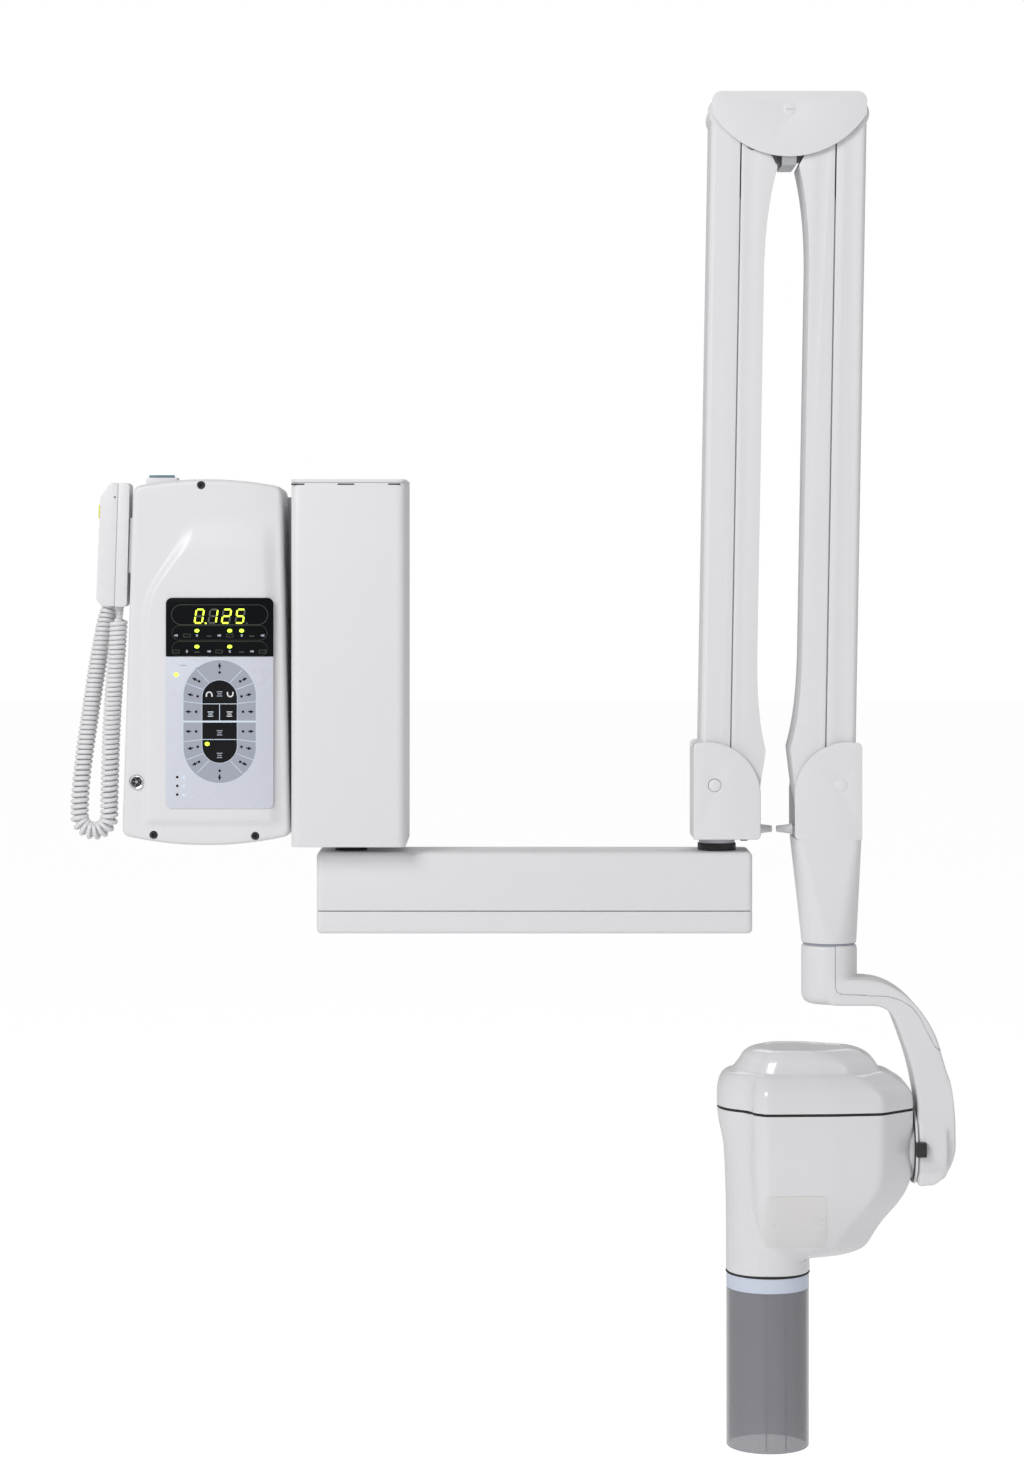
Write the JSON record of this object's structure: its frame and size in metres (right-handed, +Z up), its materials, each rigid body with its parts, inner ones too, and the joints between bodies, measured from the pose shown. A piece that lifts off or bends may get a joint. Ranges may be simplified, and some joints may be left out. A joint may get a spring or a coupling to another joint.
{
  "type": "intraoral xray unit",
  "caption": "Wall-mounted dental x-ray unit with a control box, corded hand switch, extension arm, sprung scissor arm, yoke and tilting tubehead with a clear cone.",
  "frame": {"origin": "centre of the wall bolt pattern, on the wall plane, behind the tower", "axes": "+X to the right of a viewer facing the wall, +Z up, the unit stands out from the wall along -Y"},
  "size_m": [0.802, 0.136, 1.2263],
  "materials": {
    "black_plastic": "fine matt",
    "black_rubber": "matt",
    "bronze": "sintered bronze",
    "cast_alloy": "cast alloy",
    "chrome": "polished",
    "circuit_green": "solder mask",
    "cord_white": "soft coiled cable",
    "dark_screw": "blackened steel",
    "display_black": "smoked window",
    "galvanised": "zinc plated sheet",
    "head_white": "glossy white moulded plastic",
    "label_pale": "printed band",
    "oil_block": "potted transformer",
    "overlay_blue_grey": "printed membrane",
    "peg_grey": "soft grey plastic",
    "rocker_teal": "translucent lens",
    "smoke_glass": "smoke grey clear plastic",
    "steel": "ground steel",
    "tube_glass": "clear",
    "white_paint": "satin white powder coat",
    "white_plastic": "satin white moulded plastic",
    "yellow_button": "moulded"
  },
  "bodies": {
    "wall_unit": {"wall_plate": "galvanised", "tower_frame": "galvanised", "tower_cover": "white_paint", "tower_top_cap": "white_plastic", "spindle_bushes": "bronze", "terminal_block": "black_plastic", "control_rear_housing": "white_plastic", "control_front_cover": "white_plastic", "keypad_overlay": "overlay_blue_grey", "display_window": "display_black", "display_module": "black_plastic", "control_board": "circuit_green", "cover_screws": "dark_screw", "remote_socket": "chrome", "power_switch_bezel": "white_plastic", "handset_cradle": "white_plastic", "coiled_cord": "cord_white"},
    "power_switch": {"power_rocker": "rocker_teal"},
    "handset": {"handset_front_shell": "white_plastic", "handset_back_shell": "white_plastic", "cord_strain_relief": "cord_white"},
    "handset_button": {"exposure_button": "yellow_button"},
    "extension_arm": {"extension_beam": "galvanised", "extension_upper_cover": "white_paint", "extension_lower_cover": "white_paint", "swing_washer": "black_plastic", "swivel_bushes": "bronze"},
    "scissor_base": {"base_knuckle_casting": "cast_alloy", "base_knuckle_covers": "white_plastic", "base_pivot_pins": "white_paint", "swivel_washer": "black_plastic", "brake_screw": "dark_screw", "base_bumper": "peg_grey"},
    "lower_link": {"lower_outer_link": "white_paint", "lower_spring": "steel"},
    "lower_tie": {"lower_inner_link": "white_paint"},
    "elbow": {"elbow_core": "cast_alloy", "elbow_covers": "white_plastic", "elbow_pins": "steel", "elbow_cap_screws": "white_plastic"},
    "upper_link": {"upper_outer_link": "white_paint", "upper_spring": "steel"},
    "upper_tie": {"upper_inner_link": "white_paint"},
    "end_knuckle": {"end_knuckle_casting": "cast_alloy", "end_knuckle_covers": "white_plastic", "end_pivot_pins": "white_paint", "end_bumper": "peg_grey"},
    "yoke": {"yoke_body": "white_paint", "yoke_cover_panel": "white_plastic", "yoke_seal": "black_rubber", "tilt_clamp": "black_plastic"},
    "tubehead": {"tubehead_casing": "head_white", "tubehead_gasket": "black_rubber", "tubehead_top_cover": "head_white", "goniometer_disc": "black_plastic", "transformer_block": "oil_block", "xray_tube": "tube_glass", "cone_seal": "black_rubber", "cone_label_ring": "label_pale", "cone_tube": "smoke_glass"}
  },
  "joints": [
    {"name": "arm_swing", "type": "hinge", "parent": "wall_unit", "child": "extension_arm", "pos_m": [0, -0.072, -0.1], "axis": [0, 0, 1], "range_deg": [-170, 0]},
    {"name": "scissor_swivel", "type": "hinge", "parent": "extension_arm", "child": "scissor_base", "pos_m": [0.3325, -0.072, -0.2], "axis": [0, 0, 1], "range_deg": [-120, 120]},
    {"name": "lower_arm_tilt", "type": "hinge", "parent": "scissor_base", "child": "lower_link", "pos_m": [0.3287, -0.072, -0.111], "axis": [0, 1, 0], "range_deg": [0, 72]},
    {"name": "lower_tie_tilt", "type": "hinge", "parent": "scissor_base", "child": "lower_tie", "pos_m": [0.35303, -0.072, -0.13793], "axis": [0, 1, 0], "range_deg": [0, 72]},
    {"name": "elbow_level", "type": "hinge", "parent": "lower_link", "child": "elbow", "pos_m": [0.33926, -0.072, 0.49421], "axis": [0, 1, 0], "range_deg": [-72, 0]},
    {"name": "upper_arm_tilt", "type": "hinge", "parent": "elbow", "child": "upper_link", "pos_m": [0.45306, -0.072, 0.49421], "axis": [0, -1, 0], "range_deg": [0, 75]},
    {"name": "upper_tie_tilt", "type": "hinge", "parent": "elbow", "child": "upper_tie", "pos_m": [0.4278, -0.072, 0.46814], "axis": [0, -1, 0], "range_deg": [0, 75]},
    {"name": "end_knuckle_level", "type": "hinge", "parent": "upper_link", "child": "end_knuckle", "pos_m": [0.4425, -0.072, -0.111], "axis": [0, -1, 0], "range_deg": [-75, 0]},
    {"name": "yoke_swivel", "type": "hinge", "parent": "end_knuckle", "child": "yoke", "pos_m": [0.4345, -0.072, -0.28], "axis": [0, 0, 1], "range_deg": [-150, 150]},
    {"name": "head_tilt", "type": "hinge", "parent": "yoke", "child": "tubehead", "pos_m": [0.522, -0.072, -0.44], "axis": [1, 0, 0], "range_deg": [-110, 110]},
    {"name": "handset_lift", "type": "slide", "parent": "wall_unit", "child": "handset", "axis": [-0.9995, 0, 0.0318], "range_m": [0, 0.06], "deforming": ["coiled_cord"]},
    {"name": "exposure_press", "type": "slide", "parent": "handset", "child": "handset_button", "axis": [0.9995, 0, -0.0318], "range_m": [0, 0.0012]},
    {"name": "power_rock", "type": "hinge", "parent": "wall_unit", "child": "power_switch", "pos_m": [-0.172, -0.065, 0.163], "axis": [1, 0, 0], "range_deg": [0, 16]}
  ],
  "couplings": [
    {"joint": "lower_tie_tilt", "follows": "lower_arm_tilt", "ratio": 1},
    {"joint": "elbow_level", "follows": "lower_arm_tilt", "ratio": -1},
    {"joint": "upper_tie_tilt", "follows": "upper_arm_tilt", "ratio": 1},
    {"joint": "end_knuckle_level", "follows": "upper_arm_tilt", "ratio": -1}
  ]
}
